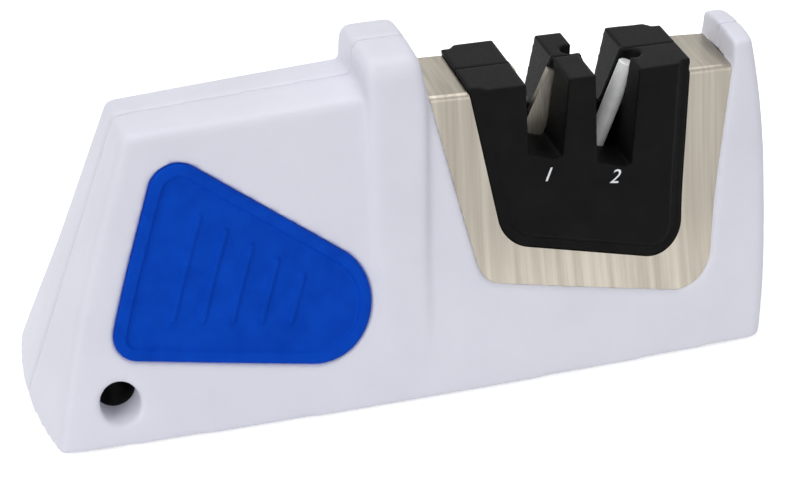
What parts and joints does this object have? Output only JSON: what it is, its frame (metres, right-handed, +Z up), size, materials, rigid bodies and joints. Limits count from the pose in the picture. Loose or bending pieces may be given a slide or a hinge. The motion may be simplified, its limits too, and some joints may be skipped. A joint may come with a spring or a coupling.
{
  "type": "pull through knife sharpener",
  "caption": "Hand-held and table-top knife sharpener: two moulded casing shells with inset grips, a folded steel band and a slotted insert holding crossed carbide blades and ceramic rods.",
  "frame": {"origin": "bottom centre of the whole part, on the surface it stands on", "axes": "+X from the handle towards the sharpening head, +Z up, -Y is the front"},
  "size_m": [0.1681, 0.0548, 0.0764],
  "materials": {
    "casing_white": "satin moulded",
    "grip_blue": "soft matte",
    "insert_black": "matte moulded",
    "band_steel": "brushed",
    "carbide": "ground",
    "rod_ceramic": "fine matte",
    "screw_steel": "zinc plated",
    "foot_rubber": "matte"
  },
  "bodies": {
    "root": {"front_shell": "casing_white", "rear_shell": "casing_white", "front_grip": "grip_blue", "rear_grip": "grip_blue", "steel_band": "band_steel", "insert_front": "insert_black", "insert_rear": "insert_black", "coarse_blade_front": "carbide", "coarse_blade_rear": "carbide", "fine_rod_front": "rod_ceramic", "fine_rod_rear": "rod_ceramic", "shell_screws": "screw_steel", "insert_screws": "screw_steel", "foot_tail_front": "foot_rubber", "foot_tail_rear": "foot_rubber", "foot_head_front": "foot_rubber", "foot_head_rear": "foot_rubber"}
  },
  "joints": []
}
